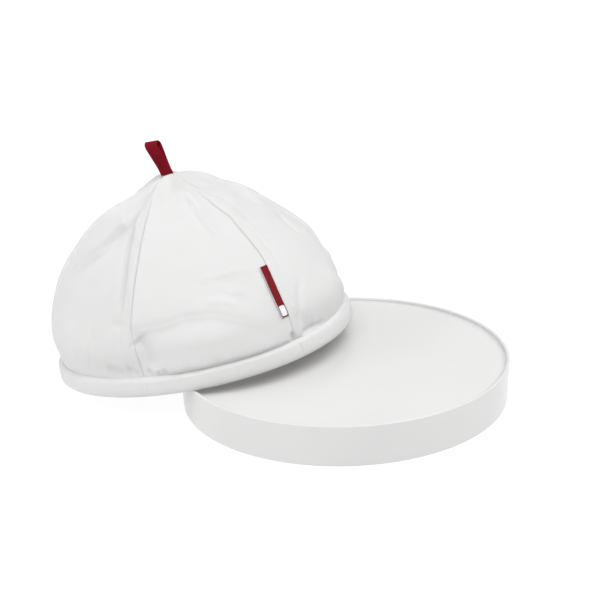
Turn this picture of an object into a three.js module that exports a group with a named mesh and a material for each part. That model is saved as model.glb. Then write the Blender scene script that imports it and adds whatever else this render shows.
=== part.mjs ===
// Round tray with a fabric cloche that leans on it, one edge on the table and one on the tray's rim.
// Millimetres, +Z up. X runs to the right of the tray, Y away from its front.
import * as THREE from 'three';

// Tray: a glazed pan turned upside down, with a shallow dish in its top
const RIM_RADIUS = 160;
const TRAY_HEIGHT = 40;
const WALL_DRAFT = 1.6;
const WALL_THICKNESS = 6;
const PLATE_THICKNESS = 6.5;
const RIM_WIDTH = 3.4;
const RIM_ROUND = 1;
const DISH_DEPTH = 4.6;
const DISH_FILLET = 3;
const FOOT_ROUND = 1.5;
const UNDERSIDE_FILLET = 5;

// Cloche: where it leans
const CLOCHE_OFFSET = 157;
const LEAN_DIRECTION = 151;
const TABLE_GAP = 0.2;

// Cloche: hem, a folded casing round a wire hoop
const SEAT_CLEARANCE = 4;
const HEM_HEIGHT = 17;
const HEM_CLOTH = 1.2;
const HEM_ROUND = 1.5;
const HEM_FOOT = 3;
const HEM_BELLY = 7;
const HOOP_WIRE = 3;
const HEM_OVERLAP = 4;
const HEM_RELEASE = 6;

// Cloche: cloth dome
const BULGE_HEIGHT = 42;
const CROWN_RISE = 144;
const BULGE_SETBACK = 0.8;
const TUCK_DEPTH = 4;
const TUCK_SPREAD = 17;
const TUCK_RISE = 2;
const SHOULDER_POWER = 1.72;
const CROWN_POWER = 0.74;
const GORE_COUNT = 6;
const FIRST_SEAM_ANGLE = 39.4;
const GORE_FLATNESS = 5;
const FLATNESS_RISE = 60;
const CROWN_HOLLOW = 6.5;
const HOLLOW_REACH = 65;
const LOP_DEPTH = 6;
const LOP_ANGLE = 39;
const PUFF_DEPTH = 2.4;
const PUFF_SPREAD = 26;
const GATHER_DEPTH = 1.2;
const GATHERS_PER_GORE = 3;
const GATHER_RISE = 30;
const CLOTH_THICKNESS = 1.2;
const LINING_THICKNESS = 1;
const LINING_EASE = 0.7;
const CROWN_SHIFT = 14;
const CROWN_SHIFT_ANGLE = 97;
const BODY_SWAY = 2.5;
const SWAY_START = 70;
const SWAY_END = 115;
const CROWN_PULL = 8;
const PULL_POWER = 9;
const SWAY_ANGLE = 29;

// Cloche: main folds of the cloth, soft ridges that run straight between two places (degrees, height)
const FOLD_SPREAD = 12;
const FOLDS = [
  { from: { degrees: 101, height: 66 }, to: { degrees: 152, height: 62 }, rise: 2.4 },
  { from: { degrees: 93, height: 158 }, to: { degrees: 46, height: 122 }, rise: 2.6 },
  { from: { degrees: 136, height: 172 }, to: { degrees: 139, height: 112 }, rise: 2 },
  { from: { degrees: 207, height: 174 }, to: { degrees: 197, height: 78 }, rise: 2.4 },
];

// Cloche: flat ribs in sewn channels beside the seams
const RIB_WIDTH = 9;
const RIB_THICKNESS = 1.2;
const RIB_MARGIN = 1.2;
const CHANNEL_STEP = 1.6;

// Cloche: lifting loop and the patch that anchors it
const LOOP_WIDTH = 12.4;
const LOOP_HEIGHT = 32;
const LOOP_GAP = 13;
const LOOP_NECK = 4;
const LOOP_TURN = 19;
const LOOP_TOP_SHIFT = 8;
const RIBBON_THICKNESS = 1.6;
const CROWN_HOLE_CLEARANCE = 3.6;
const PATCH_RADIUS = 20;
const PATCH_THICKNESS = 1.4;
const PATCH_CLEARANCE = 0.6;

// Cloche: label sewn into a seam by one long edge
const LABEL_GORE_INDEX = 1;
const LABEL_LENGTH = 52;
const LABEL_WIDTH = 8;
const LABEL_THICKNESS = 0.8;
const LABEL_RISE = 45;
const LABEL_MARGIN = 0.6;

// Gap kept between pieces that touch
const FIT_GAP = 0.3;

// How finely round and curved pieces are cut into facets
const TURN_STEPS = 60;
const FILLET_STEPS = 2;
const CLOTH_ROWS = 14;
const ROW_CROWDING = 1.4;
const GORE_COLUMNS = 12;
const CHANNELLED_COLUMNS = 8;
const LINING_COLUMNS = 8;
const LABEL_ROWS = 5;
const LOOP_CURVE_STEPS = 8;
const WIRE_SIDES = 8;
const PROFILE_SAMPLES = 160;
const BISECTION_STEPS = 50;

// Sizes that follow from the driving ones
const gapHalf = FIT_GAP / 2;
const goreAngle = 2 * Math.PI / GORE_COUNT;
const hemHollow = Math.max(HOOP_WIRE, CLOTH_THICKNESS) + 2 * FIT_GAP;
const hemThickness = hemHollow + 2 * HEM_CLOTH;
const hemRound = Math.min(HEM_ROUND, 1.5 * HEM_CLOTH);
const hemRadius = RIM_RADIUS - RIM_WIDTH - SEAT_CLEARANCE;
const hemInnerRadius = hemRadius - hemThickness;
const mouthRadius = hemRadius - HEM_CLOTH - FIT_GAP;
const bulgeRadius = mouthRadius - BULGE_SETBACK;
const domeHeight = BULGE_HEIGHT + CROWN_RISE;
const clothBottom = HEM_HEIGHT - HEM_OVERLAP;
const dishFloor = TRAY_HEIGHT - DISH_DEPTH;
const liningInset = CLOTH_THICKNESS + FIT_GAP + LINING_EASE;
const channelWidth = RIB_MARGIN + RIB_WIDTH + FIT_GAP;
const channelRaise = RIB_THICKNESS + FIT_GAP;
const widestChannelShare = 0.3;
const crownHoleRadius = Math.hypot(LOOP_WIDTH / 2, RIBBON_THICKNESS) + CROWN_HOLE_CLEARANCE;

// Materials
const glaze = new THREE.MeshStandardMaterial({ color: 0xf0efec, roughness: 0.12, metalness: 0 });
const cotton = new THREE.MeshStandardMaterial({ color: 0xeceae6, roughness: 0.9, metalness: 0 });
const liningCotton = new THREE.MeshStandardMaterial({ color: 0xe6e3dd, roughness: 0.92, metalness: 0 });
const ribPlastic = new THREE.MeshStandardMaterial({ color: 0xf2f2ee, roughness: 0.5, metalness: 0 });
const hoopSteel = new THREE.MeshStandardMaterial({ color: 0xb4b6b8, roughness: 0.35, metalness: 1 });
const crimsonWebbing = new THREE.MeshStandardMaterial({ color: 0x8e1523, roughness: 0.75, metalness: 0 });
const crimsonLabel = new THREE.MeshStandardMaterial({ color: 0xa8182a, roughness: 0.6, metalness: 0 });

const radians = THREE.MathUtils.degToRad;
const smooth = THREE.MathUtils.smoothstep;

// The place between two limits where a rising function passes a value
function bisect(rising, value, from, to) {
  let low = from;
  let high = to;
  for (let step = 0; step < BISECTION_STEPS; step += 1) {
    const middle = (low + high) / 2;
    if (rising(middle) < value) {
      low = middle;
    } else {
      high = middle;
    }
  }
  return high;
}

// Points of a quarter round about a centre, from one angle to another, in degrees
function arcPoints(centreX, centreY, radius, fromDegrees, toDegrees) {
  const points = [];
  for (let step = 0; step <= FILLET_STEPS; step += 1) {
    const angle = radians(fromDegrees + (toDegrees - fromDegrees) * step / FILLET_STEPS);
    points.push(new THREE.Vector2(centreX + radius * Math.cos(angle), centreY + radius * Math.sin(angle)));
  }
  return points;
}

// A closed or axis-ended profile (radius, height) turned about the Z axis
function turned(profile) {
  const geometry = new THREE.LatheGeometry(profile, TURN_STEPS);
  geometry.rotateX(Math.PI / 2);
  geometry.rotateZ(radians(FIRST_SEAM_ANGLE));
  return geometry;
}

// A closed solid between an outer and an inner grid of points, rows of equal length
function slab(outerGrid, innerGrid) {
  const rowCount = outerGrid.length;
  const columnCount = outerGrid[0].length;
  const positions = [...outerGrid.flat(), ...innerGrid.flat()].flatMap((point) => point.toArray());
  const triangles = [];
  const innerStart = rowCount * columnCount;
  const outer = (row, column) => row * columnCount + column;
  const inner = (row, column) => innerStart + outer(row, column);
  const quad = (a, b, c, d) => triangles.push(a, b, c, a, c, d);
  for (let row = 0; row + 1 < rowCount; row += 1) {
    for (let column = 0; column + 1 < columnCount; column += 1) {
      quad(outer(row, column), outer(row, column + 1), outer(row + 1, column + 1), outer(row + 1, column));
      quad(inner(row, column), inner(row + 1, column), inner(row + 1, column + 1), inner(row, column + 1));
    }
    const last = columnCount - 1;
    quad(inner(row, 0), outer(row, 0), outer(row + 1, 0), inner(row + 1, 0));
    quad(outer(row, last), inner(row, last), inner(row + 1, last), outer(row + 1, last));
  }
  for (let column = 0; column + 1 < columnCount; column += 1) {
    const top = rowCount - 1;
    quad(inner(0, column), inner(0, column + 1), outer(0, column + 1), outer(0, column));
    quad(outer(top, column), outer(top, column + 1), inner(top, column + 1), inner(top, column));
  }
  const geometry = new THREE.BufferGeometry();
  geometry.setAttribute('position', new THREE.Float32BufferAttribute(positions, 3));
  geometry.setIndex(triangles);
  return geometry;
}

function namedMesh(name, geometry, material) {
  const mesh = new THREE.Mesh(geometry, material);
  mesh.name = name;
  return mesh;
}

// Tray
function makeTray() {
  const footRadius = RIM_RADIUS - WALL_DRAFT;
  const plateBottom = dishFloor - PLATE_THICKNESS;
  const innerTop = RIM_RADIUS - WALL_THICKNESS - WALL_DRAFT * (TRAY_HEIGHT - plateBottom) / TRAY_HEIGHT;
  const dishWall = RIM_RADIUS - RIM_WIDTH;
  const profile = [
    new THREE.Vector2(0, plateBottom),
    ...arcPoints(innerTop - UNDERSIDE_FILLET, plateBottom - UNDERSIDE_FILLET, UNDERSIDE_FILLET, 90, 0),
    new THREE.Vector2(footRadius - WALL_THICKNESS, 0),
    ...arcPoints(footRadius - FOOT_ROUND, FOOT_ROUND, FOOT_ROUND, 270, 360),
    ...arcPoints(RIM_RADIUS - RIM_ROUND, TRAY_HEIGHT - RIM_ROUND, RIM_ROUND, 0, 90),
    ...arcPoints(dishWall + RIM_ROUND, TRAY_HEIGHT - RIM_ROUND, RIM_ROUND, 90, 180),
    ...arcPoints(dishWall - DISH_FILLET, dishFloor + DISH_FILLET, DISH_FILLET, 360, 270),
    new THREE.Vector2(0, dishFloor),
  ];
  return namedMesh('tray', turned(profile), glaze);
}

// Radius of the cloth, midway between seam and gore, at a height above the hem's lower edge
function clothRadius(height) {
  const tuck = TUCK_DEPTH * Math.exp(-(((height - HEM_HEIGHT - TUCK_RISE) / TUCK_SPREAD) ** 2));
  if (height >= BULGE_HEIGHT) {
    const rise = Math.min((height - BULGE_HEIGHT) / CROWN_RISE, 1);
    return bulgeRadius * (1 - rise ** SHOULDER_POWER) ** CROWN_POWER - tuck;
  }
  const fall = (BULGE_HEIGHT - height) / (BULGE_HEIGHT - clothBottom);
  return bulgeRadius + BULGE_SETBACK * fall ** 2 - tuck;
}

// Height at which the dome has narrowed to a radius
function heightAtRadius(radius) {
  const rise = (1 - (radius / bulgeRadius) ** (1 / CROWN_POWER)) ** (1 / SHOULDER_POWER);
  return BULGE_HEIGHT + rise * CROWN_RISE;
}

// The dome's outline from inside the hem casing up to the hole at the crown
const crownHeight = heightAtRadius(crownHoleRadius);
const outlinePoints = [];
for (let sample = 0; sample <= PROFILE_SAMPLES; sample += 1) {
  const turn = Math.PI / 2 * sample / PROFILE_SAMPLES;
  const height = clothBottom + (crownHeight - clothBottom) * Math.sin(turn);
  outlinePoints.push(new THREE.Vector2(clothRadius(height), height));
}
const domeOutline = new THREE.SplineCurve(outlinePoints);
domeOutline.arcLengthDivisions = 4 * PROFILE_SAMPLES;
const outlineLength = domeOutline.getLength();

// One level of the dome: its radius, its height, how far up the outline it lies, the direction out of the
// cloth, which is level where the hem holds it, and how free it is of that hold, from 0 to 1
function domeRow(fraction) {
  const point = domeOutline.getPointAt(fraction);
  const tangent = domeOutline.getTangentAt(fraction);
  const freedom = smooth(point.y, HEM_HEIGHT, HEM_HEIGHT + HEM_RELEASE);
  const out = new THREE.Vector2(tangent.y, -tangent.x * freedom).normalize();
  const rise = fraction * outlineLength;
  return { radius: point.x, height: point.y, rise, outRadial: out.x, outHeight: out.y, freedom };
}

// Share of the outline's length that lies below a height
const outlineFraction = (height) => bisect((fraction) => domeOutline.getPointAt(fraction).y, height, 0, 1);

// Levels of the dome: one inside the hem casing, one just above it, then closer together below than above
const mouthFraction = outlineFraction(HEM_HEIGHT + FIT_GAP);
const domeRows = [domeRow(0)];
for (let row = 0; row <= CLOTH_ROWS; row += 1) {
  domeRows.push(domeRow(mouthFraction + (1 - mouthFraction) * (row / CLOTH_ROWS) ** ROW_CROWDING));
}
const rowsAboveHem = domeRows.slice(1);

// How strongly the cloth falls in between the crown hole and the hollows' reach
function belowCrown(row) {
  const nearness = Math.max(0, (HOLLOW_REACH - row.radius) / (HOLLOW_REACH - crownHoleRadius));
  return 4 * nearness * Math.max(0, 1 - nearness);
}

// A point of the dome at an angle, moved outward from the plain outline. Below the crown the dome lops to one side.
function domePoint(row, angle, outward) {
  const facing = Math.max(0, Math.cos(angle - radians(LOP_ANGLE)));
  const moved = outward - LOP_DEPTH * belowCrown(row) * facing ** 2;
  const radius = row.radius + moved * row.outRadial;
  const height = row.height + moved * row.outHeight;
  const shift = CROWN_SHIFT * (row.height / domeHeight) ** 2;
  const shiftAngle = radians(CROWN_SHIFT_ANGLE);
  const pull = CROWN_PULL * (row.height / domeHeight) ** PULL_POWER;
  const sway = BODY_SWAY * smooth(row.height, SWAY_START, SWAY_END) - pull;
  const swayAngle = radians(SWAY_ANGLE);
  const x = radius * Math.cos(angle) + shift * Math.cos(shiftAngle) + sway * Math.cos(swayAngle);
  const y = radius * Math.sin(angle) + shift * Math.sin(shiftAngle) + sway * Math.sin(swayAngle);
  return new THREE.Vector3(x, y, height);
}

const seamAngle = (seam) => radians(FIRST_SEAM_ANGLE) + seam * goreAngle;

// How far the cloth stands out between its seams: hollow below the crown, flat above, puffed out over the hem
function goreSwell(row, share) {
  const arch = 4 * share * (1 - share);
  const flattening = smooth(row.height, HEM_HEIGHT, HEM_HEIGHT + FLATNESS_RISE);
  const flat = GORE_FLATNESS * flattening * row.radius / bulgeRadius;
  const puff = PUFF_DEPTH * Math.exp(-(((row.height - BULGE_HEIGHT) / PUFF_SPREAD) ** 2));
  return arch * (puff * row.freedom - flat - CROWN_HOLLOW * belowCrown(row));
}

// How strongly the cloth is gathered just above the hem
function gatherStrength(row) {
  const fading = smooth(row.height, HEM_HEIGHT + HEM_RELEASE, HEM_HEIGHT + GATHER_RISE);
  return GATHER_DEPTH * row.freedom * (1 - fading);
}

// How far the main folds raise the cloth at an angle of one level
function foldRise(row, angle) {
  const place = new THREE.Vector2(angle * row.radius, row.rise);
  let raised = 0;
  for (const fold of FOLDS) {
    const [start, end] = [fold.from, fold.to].map((corner) => new THREE.Vector2(
      radians(corner.degrees) * row.radius,
      outlineFraction(corner.height) * outlineLength,
    ));
    const run = end.clone().sub(start);
    const along = THREE.MathUtils.clamp(place.clone().sub(start).dot(run) / run.lengthSq(), 0, 1);
    const distance = place.distanceTo(start.addScaledVector(run, along));
    raised += fold.rise * Math.sin(Math.PI * along) * Math.exp(-((distance / FOLD_SPREAD) ** 2));
  }
  return raised;
}

// Share of a gore's width that a channel takes at one level
function channelShare(row) {
  return Math.min(channelWidth / (row.radius * goreAngle), widestChannelShare);
}

// Columns of one gore at one level: where each stands across the gore, and how far its cloth stands out
function goreColumns(row, channelled) {
  const edge = gapHalf / (row.radius * goreAngle);
  const columns = [];
  const add = (share, raised, gathered) => {
    const wave = gathered ? gatherStrength(row) * Math.sin(2 * Math.PI * GATHERS_PER_GORE * gathered) : 0;
    const raise = raised ? channelRaise * row.freedom : 0;
    columns.push({ share, outward: goreSwell(row, share) + wave + raise });
  };
  if (!channelled) {
    add(edge, false, 0);
    for (let column = 1; column < GORE_COLUMNS; column += 1) {
      add(column / GORE_COLUMNS, false, column / GORE_COLUMNS);
    }
    add(1 - edge, false, 0);
    return columns;
  }
  const channel = channelShare(row);
  const foot = channel * (1 + CHANNEL_STEP / channelWidth);
  add(edge, true, 0);
  add(channel, true, 0);
  for (let column = 0; column <= CHANNELLED_COLUMNS; column += 1) {
    const across = column / CHANNELLED_COLUMNS;
    add(foot + (1 - 2 * foot) * across, false, across);
  }
  add(1 - channel, true, 0);
  add(1 - edge, true, 0);
  return columns;
}

// A gore of outer cloth between two seams; every other gore carries the rib channels on its edges
function makeGore(gore) {
  const channelled = gore % 2 === 0;
  const layer = (inset) => domeRows.map((row) => goreColumns(row, channelled).map((column) => {
    const angle = seamAngle(gore) + column.share * goreAngle;
    return domePoint(row, angle, column.outward + foldRise(row, angle) - inset);
  }));
  return namedMesh(`gore_${gore + 1}`, slab(layer(0), layer(CLOTH_THICKNESS)), cotton);
}

// A gore of lining, inside the gathers of the outer cloth, from the hem casing's inner wall up
function makeLining(gore) {
  const layer = (inset) => rowsAboveHem.map((row) => {
    const edge = gapHalf / (row.radius * goreAngle);
    const points = [];
    for (let column = 0; column <= LINING_COLUMNS; column += 1) {
      const share = edge + (1 - 2 * edge) * column / LINING_COLUMNS;
      const outward = goreSwell(row, share) - gatherStrength(row) - inset;
      points.push(domePoint(row, seamAngle(gore) + share * goreAngle, outward));
    }
    return points;
  });
  const inner = liningInset + LINING_THICKNESS;
  return namedMesh(`lining_${gore + 1}`, slab(layer(liningInset), layer(inner)), liningCotton);
}

// A flat rib in its channel, on the side of the seam where the channelled gore lies
function makeRib(seam) {
  const side = seam % 2 === 0 ? 1 : -1;
  const rows = domeRows.filter((row) => (
    row.freedom === 1 && row.radius * goreAngle * widestChannelShare >= channelWidth
  ));
  const layer = (inset) => rows.map((row) => {
    const places = [RIB_MARGIN, RIB_MARGIN + RIB_WIDTH];
    const points = places.map((place) => {
      const swell = goreSwell(row, place / (row.radius * goreAngle));
      return domePoint(row, seamAngle(seam) + side * place / row.radius, swell - inset);
    });
    return side > 0 ? points : points.reverse();
  });
  const outer = CLOTH_THICKNESS - RIB_THICKNESS;
  return namedMesh(`seam_rib_${seam + 1}`, slab(layer(outer), layer(CLOTH_THICKNESS)), ribPlastic);
}

// The hem casing: a folded band, widest below its middle, its open top edge drawn in to where the cloth runs in
const lipRadius = Math.min(clothRadius(clothBottom) + 2 * FIT_GAP + HEM_CLOTH, hemRadius);
const hemLean = hemRadius - lipRadius;
const innerHollow = hemInnerRadius + HEM_CLOTH;

function makeHemCasing() {
  const profile = [
    new THREE.Vector2(innerHollow - hemLean, HEM_HEIGHT),
    new THREE.Vector2(hemInnerRadius - hemLean, HEM_HEIGHT),
    new THREE.Vector2(hemInnerRadius, hemRound),
    new THREE.Vector2(hemInnerRadius + hemRound, 0),
    new THREE.Vector2(hemRadius - HEM_FOOT, 0),
    new THREE.Vector2(hemRadius, HEM_BELLY),
    new THREE.Vector2(lipRadius, HEM_HEIGHT),
    new THREE.Vector2(lipRadius - HEM_CLOTH, HEM_HEIGHT),
    new THREE.Vector2(hemRadius - HEM_CLOTH, HEM_BELLY),
    new THREE.Vector2(hemRadius - HEM_FOOT - HEM_CLOTH / 2, HEM_CLOTH),
    new THREE.Vector2(innerHollow, HEM_CLOTH),
    new THREE.Vector2(innerHollow - hemLean, HEM_HEIGHT),
  ];
  return namedMesh('hem_casing', turned(profile), cotton);
}

// The wire hoop that lies in the widest part of the hem casing
function makeHemHoop() {
  const wire = HOOP_WIRE / 2;
  const innerWall = innerHollow - hemLean * HEM_BELLY / HEM_HEIGHT;
  const middle = (innerWall + hemRadius - HEM_CLOTH) / 2;
  const profile = [];
  for (let side = 0; side <= WIRE_SIDES; side += 1) {
    const angle = 2 * Math.PI * (side % WIRE_SIDES) / WIRE_SIDES;
    profile.push(new THREE.Vector2(middle + wire * Math.cos(angle), HEM_BELLY + wire * Math.sin(angle)));
  }
  return namedMesh('hem_hoop', turned(profile), hoopSteel);
}

// The patch under the crown closes the hole and carries the loop. It lies under the lining's top facets.
const crownRow = domeRows[domeRows.length - 1];
const rowBelowCrown = domeRows[domeRows.length - 2];
const patchInset = liningInset + LINING_THICKNESS + PATCH_CLEARANCE;
const crownCentre = domePoint({ ...crownRow, radius: 0 }, 0, 0);

// Place of the lining's underside in the middle of a gore, at one level, on the side where it comes nearest
function liningUnderside(row) {
  const outward = goreSwell(row, 1 / 2) - LOP_DEPTH * belowCrown(row) - patchInset;
  const aside = domePoint({ ...row, radius: 0 }, 0, 0).setZ(crownCentre.z).distanceTo(crownCentre);
  return new THREE.Vector2(row.radius + outward * row.outRadial - aside, row.height + outward * row.outHeight);
}

function makeCrownPatch() {
  const inner = liningUnderside(crownRow);
  const outer = liningUnderside(rowBelowCrown);
  const rim = inner.clone().lerp(outer, (PATCH_RADIUS - inner.x) / (outer.x - inner.x));
  const profile = [
    new THREE.Vector2(0, inner.y - PATCH_THICKNESS),
    new THREE.Vector2(inner.x, inner.y - PATCH_THICKNESS),
    new THREE.Vector2(rim.x, rim.y - PATCH_THICKNESS),
    rim,
    inner,
    new THREE.Vector2(0, inner.y),
  ];
  const patch = namedMesh('crown_patch', turned(profile), cotton);
  patch.position.set(crownCentre.x, crownCentre.y, 0);
  return patch;
}

// The lifting loop: one ribbon folded into a drop shape, its fold resting on the patch and swinging there
const loopPivot = liningUnderside(crownRow).y + FIT_GAP + RIBBON_THICKNESS;

function makeHandleLoop() {
  const sunk = crownHeight - loopPivot;
  const gapRadius = LOOP_GAP / 2;
  const outerRadius = gapRadius + RIBBON_THICKNESS;
  const neck = sunk + LOOP_NECK;
  const belly = sunk + LOOP_HEIGHT - outerRadius;
  const bend = (belly - neck) / 2;
  const shape = new THREE.Shape();
  shape.moveTo(RIBBON_THICKNESS, 0);
  shape.lineTo(RIBBON_THICKNESS, neck);
  shape.bezierCurveTo(RIBBON_THICKNESS, neck + bend, outerRadius, belly - bend, outerRadius, belly);
  shape.absarc(0, belly, outerRadius, 0, Math.PI, false);
  shape.bezierCurveTo(-outerRadius, belly - bend, -RIBBON_THICKNESS, neck + bend, -RIBBON_THICKNESS, neck);
  shape.lineTo(-RIBBON_THICKNESS, 0);
  shape.absarc(0, 0, RIBBON_THICKNESS, Math.PI, 2 * Math.PI, false);
  const hole = new THREE.Path();
  hole.moveTo(0, neck);
  hole.bezierCurveTo(0, neck + bend, -gapRadius, belly - bend, -gapRadius, belly);
  hole.absarc(0, belly, gapRadius, Math.PI, 0, true);
  hole.bezierCurveTo(gapRadius, belly - bend, 0, neck + bend, 0, neck);
  shape.holes.push(hole);
  const options = { depth: LOOP_WIDTH, bevelEnabled: false, curveSegments: LOOP_CURVE_STEPS };
  const geometry = new THREE.ExtrudeGeometry(shape, options);
  geometry.translate(0, 0, -LOOP_WIDTH / 2);
  geometry.applyMatrix4(new THREE.Matrix4().makeShear(0, 0, 0, LOOP_TOP_SHIFT / LOOP_HEIGHT, 0, 0));
  const across = new THREE.Vector3(Math.cos(radians(LOOP_TURN)), Math.sin(radians(LOOP_TURN)), 0);
  const up = new THREE.Vector3(0, 0, 1);
  const through = new THREE.Vector3().crossVectors(up, across);
  const loop = namedMesh('handle_loop', geometry, crimsonWebbing);
  loop.position.set(crownCentre.x, crownCentre.y, loopPivot);
  loop.quaternion.setFromRotationMatrix(new THREE.Matrix4().makeBasis(through, up, across));
  return loop;
}

// The label lies on the plain gore beside its seam
function makeSideLabel() {
  const low = outlineFraction(LABEL_RISE);
  const layer = (inset) => {
    const rows = [];
    for (let step = 0; step <= LABEL_ROWS; step += 1) {
      const row = domeRow(low + LABEL_LENGTH / outlineLength * step / LABEL_ROWS);
      const places = [LABEL_MARGIN + LABEL_WIDTH, LABEL_MARGIN];
      rows.push(places.map((place) => {
        const share = 1 - place / (row.radius * goreAngle);
        return domePoint(row, seamAngle(LABEL_GORE_INDEX) + share * goreAngle, goreSwell(row, share) - inset);
      }));
    }
    return rows;
  };
  const innerInset = -FIT_GAP - gapHalf;
  return namedMesh('side_label', slab(layer(innerInset - LABEL_THICKNESS), layer(innerInset)), crimsonLabel);
}

// The tilt at which the hem's low edge lies on the table and its inner edge lies on the tray's rim
function leanTilt() {
  const lowRadius = hemRadius - HEM_FOOT;
  const contactRadius = hemInnerRadius + hemRound;
  const heightOverRim = (tilt) => {
    const stretch = 1 / Math.cos(tilt) ** 2;
    const square = stretch * CLOCHE_OFFSET ** 2 + RIM_RADIUS ** 2 - contactRadius ** 2;
    const root = Math.sqrt((CLOCHE_OFFSET * stretch) ** 2 - (stretch - 1) * square);
    const reach = square / (CLOCHE_OFFSET * stretch + root);
    return TABLE_GAP + lowRadius * Math.sin(tilt) + (CLOCHE_OFFSET - reach) * Math.tan(tilt);
  };
  const tilt = bisect(heightOverRim, TRAY_HEIGHT + FIT_GAP, 0, Math.PI / 4);
  return { tilt, centreHeight: TABLE_GAP + lowRadius * Math.sin(tilt) };
}

function makeCloche() {
  const cloche = new THREE.Group();
  for (let index = 0; index < GORE_COUNT; index += 1) {
    cloche.add(makeGore(index), makeLining(index), makeRib(index));
  }
  cloche.add(makeHemCasing(), makeHemHoop(), makeCrownPatch(), makeHandleLoop(), makeSideLabel());
  const lean = leanTilt();
  const direction = radians(LEAN_DIRECTION);
  cloche.rotation.set(0, lean.tilt, direction, 'ZYX');
  const across = new THREE.Vector2(Math.cos(direction), Math.sin(direction)).multiplyScalar(CLOCHE_OFFSET);
  cloche.position.set(across.x, across.y, lean.centreHeight);
  return cloche;
}

// The assembly stands on the middle of its own floor plan
const assembly = new THREE.Group();
assembly.add(makeTray(), makeCloche());
assembly.updateMatrixWorld(true);
const middle = new THREE.Box3().setFromObject(assembly, true).getCenter(new THREE.Vector3());
assembly.position.set(-middle.x, -middle.y, 0);

export default assembly;
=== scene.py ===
"""Looks of a round glazed tray with a fabric cloche that leans on it.

The cloche is worked out in its own frame, in millimetres: Z up through the dome, X towards its low side,
and angles in degrees from X. Points are placed in Blender's metres by place(). Seams are counted from 0,
and gore k lies between seam k and seam k + 1."""

import math
from collections import namedtuple

import bpy
import numpy as np
from mathutils import Matrix, Vector, noise


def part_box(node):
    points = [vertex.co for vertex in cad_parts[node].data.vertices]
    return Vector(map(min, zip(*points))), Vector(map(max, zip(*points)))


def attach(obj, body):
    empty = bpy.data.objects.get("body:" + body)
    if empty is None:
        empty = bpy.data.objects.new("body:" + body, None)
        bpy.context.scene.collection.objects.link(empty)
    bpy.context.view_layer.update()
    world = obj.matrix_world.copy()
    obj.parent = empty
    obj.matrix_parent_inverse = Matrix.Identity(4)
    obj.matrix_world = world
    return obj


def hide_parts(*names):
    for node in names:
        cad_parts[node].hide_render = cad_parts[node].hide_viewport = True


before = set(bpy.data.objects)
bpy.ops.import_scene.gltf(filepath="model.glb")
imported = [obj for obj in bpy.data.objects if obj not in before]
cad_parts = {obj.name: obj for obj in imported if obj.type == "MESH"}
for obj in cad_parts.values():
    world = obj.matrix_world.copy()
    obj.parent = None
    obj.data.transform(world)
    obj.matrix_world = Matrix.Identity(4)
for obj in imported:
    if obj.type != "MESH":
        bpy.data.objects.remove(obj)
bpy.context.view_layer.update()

MM = 0.001

# Tray, as in the CAD model
RIM_RADIUS = 160
TRAY_HEIGHT = 40
WALL_DRAFT = 1.6
WALL_THICKNESS = 6
PLATE_THICKNESS = 6.5
RIM_WIDTH = 3.4
RIM_ROUND = 1
DISH_DEPTH = 4.6
FOOT_ROUND = 1.5
UNDERSIDE_FILLET = 5
# Looks only: the glaze rounds the dish's edge and pools in its corner, and the foot's inner edge is broken
GLAZE_EDGE = 2
GLAZE_POOL = 6.5
FOOT_CHAMFER = 0.8

# Cloche, as in the CAD model
SEAT_CLEARANCE = 4
HEM_HEIGHT = 17
HEM_CLOTH = 1.2
HEM_FOOT = 3
HEM_BELLY = 7
HOOP_WIRE = 3
HEM_OVERLAP = 4
HEM_RELEASE = 6
BULGE_HEIGHT = 42
CROWN_RISE = 144
BULGE_SETBACK = 0.8
TUCK_DEPTH = 4
TUCK_SPREAD = 17
TUCK_RISE = 2
SHOULDER_POWER = 1.72
CROWN_POWER = 0.74
GORE_COUNT = 6
FIRST_SEAM_ANGLE = 39.4
GORE_FLATNESS = 5
FLATNESS_RISE = 60
CROWN_HOLLOW = 6.5
HOLLOW_REACH = 65
LOP_DEPTH = 6
LOP_ANGLE = 39
LOP_REACH = 85
LOP_AT_CROWN = 0.6
CROWN_SINK = 2
SINK_REACH = 26
HOLLOW_SOFTNESS = 1.4
PUFF_DEPTH = 2.4
PUFF_SPREAD = 26
CLOTH_THICKNESS = 1.2
LINING_THICKNESS = 1
LINING_EASE = 0.7
CROWN_SHIFT = 14
CROWN_SHIFT_ANGLE = 97
BODY_SWAY = 2.5
SWAY_START = 70
SWAY_END = 115
CROWN_PULL = 8
PULL_POWER = 9
SWAY_ANGLE = 29
RIB_WIDTH = 9
RIB_THICKNESS = 1.2
RIB_MARGIN = 1.2
LOOP_WIDTH = 12.4
LOOP_HEIGHT = 32
LOOP_GAP = 13
LOOP_NECK = 4
LOOP_TURN = 19
LOOP_TOP_SHIFT = 8
RIBBON_THICKNESS = 1.6
CROWN_HOLE_CLEARANCE = 3.6
PATCH_RADIUS = 20
PATCH_THICKNESS = 1.4
PATCH_CLEARANCE = 0.6
LABEL_LENGTH = 52
LABEL_WIDTH = 8
LABEL_THICKNESS = 0.8
LABEL_RISE = 45
FIT_GAP = 0.3
WIDEST_CHANNEL_SHARE = 0.3

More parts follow.
